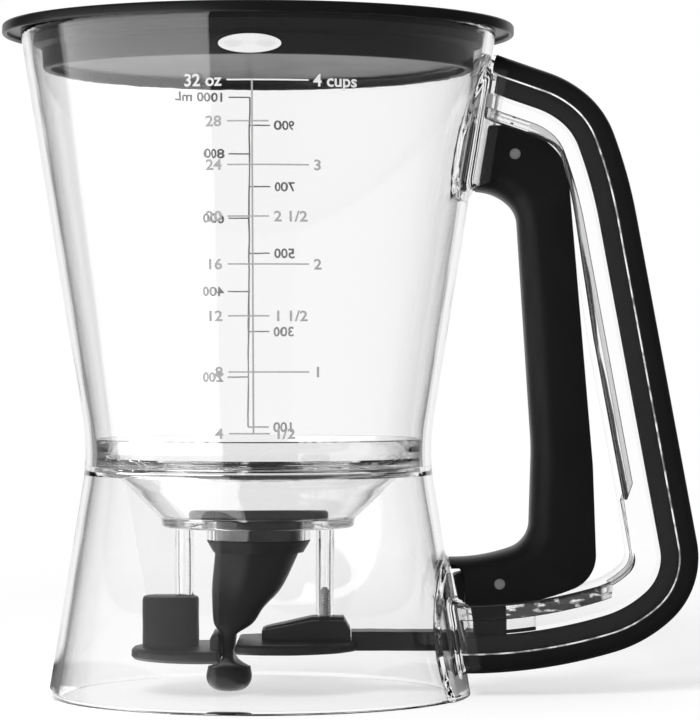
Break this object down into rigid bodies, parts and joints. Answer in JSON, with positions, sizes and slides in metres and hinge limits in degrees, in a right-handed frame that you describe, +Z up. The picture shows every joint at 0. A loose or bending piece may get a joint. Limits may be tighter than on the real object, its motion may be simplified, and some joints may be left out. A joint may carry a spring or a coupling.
{
  "type": "batter dispenser",
  "caption": "Hand-held batter dispenser: clear measuring container on a flared skirt, lift-off lid, looped handle, and a trigger that slides a jaw to open a pinched silicone outlet.",
  "frame": {"origin": "centre of the skirt's foot, on the surface that the dispenser stands on", "axes": "+Z up along the container's axis, +X towards the handle and trigger, +Y away from the side on which the ounce and cup scale is printed"},
  "size_m": [0.1909, 0.1408, 0.1849],
  "materials": {
    "lid_black": "satin, fine texture",
    "clear_body": "clear, polished",
    "clear_funnel": "clear, polished",
    "clear_frame": "clear, polished",
    "silicone": "soft satin",
    "carrier_black": "satin",
    "slide_black": "satin",
    "grip_black": "soft satin",
    "trigger_black": "matte, fine texture",
    "steel": "bright"
  },
  "bodies": {
    "dispenser": {"container_shell": "clear_body", "funnel": "clear_funnel", "handle_frame": "clear_frame", "handle_grip": "grip_black", "anvil_bracket": "carrier_black", "anvil_screw": "steel", "guide_block": "carrier_black", "guide_screw": "steel", "valve_sleeve": "silicone", "return_spring": "steel"},
    "lid": {"lid": "lid_black"},
    "trigger": {"trigger": "trigger_black", "pivot_pin": "steel", "drive_pin": "steel"},
    "slide": {"slide_bar": "slide_black"}
  },
  "joints": [
    {"name": "lid_lift", "type": "slide", "parent": "dispenser", "child": "lid", "axis": [0, 0, 1], "range_m": [0, 0.04]},
    {"name": "trigger_squeeze", "type": "hinge", "parent": "dispenser", "child": "trigger", "pos_m": [0.07032, 0, 0.1485], "axis": [0, -1, 0], "range_deg": [0, 3.4], "stiffness_Nm_per_rad": 6, "deforming": ["return_spring", "valve_sleeve"]},
    {"name": "slide_pull", "type": "slide", "parent": "dispenser", "child": "slide", "axis": [1, 0, 0], "range_m": [0, 0.007]}
  ],
  "couplings": [
    {"joint": "slide_pull", "follows": "trigger_squeeze", "m_per_rad": 0.1175}
  ]
}
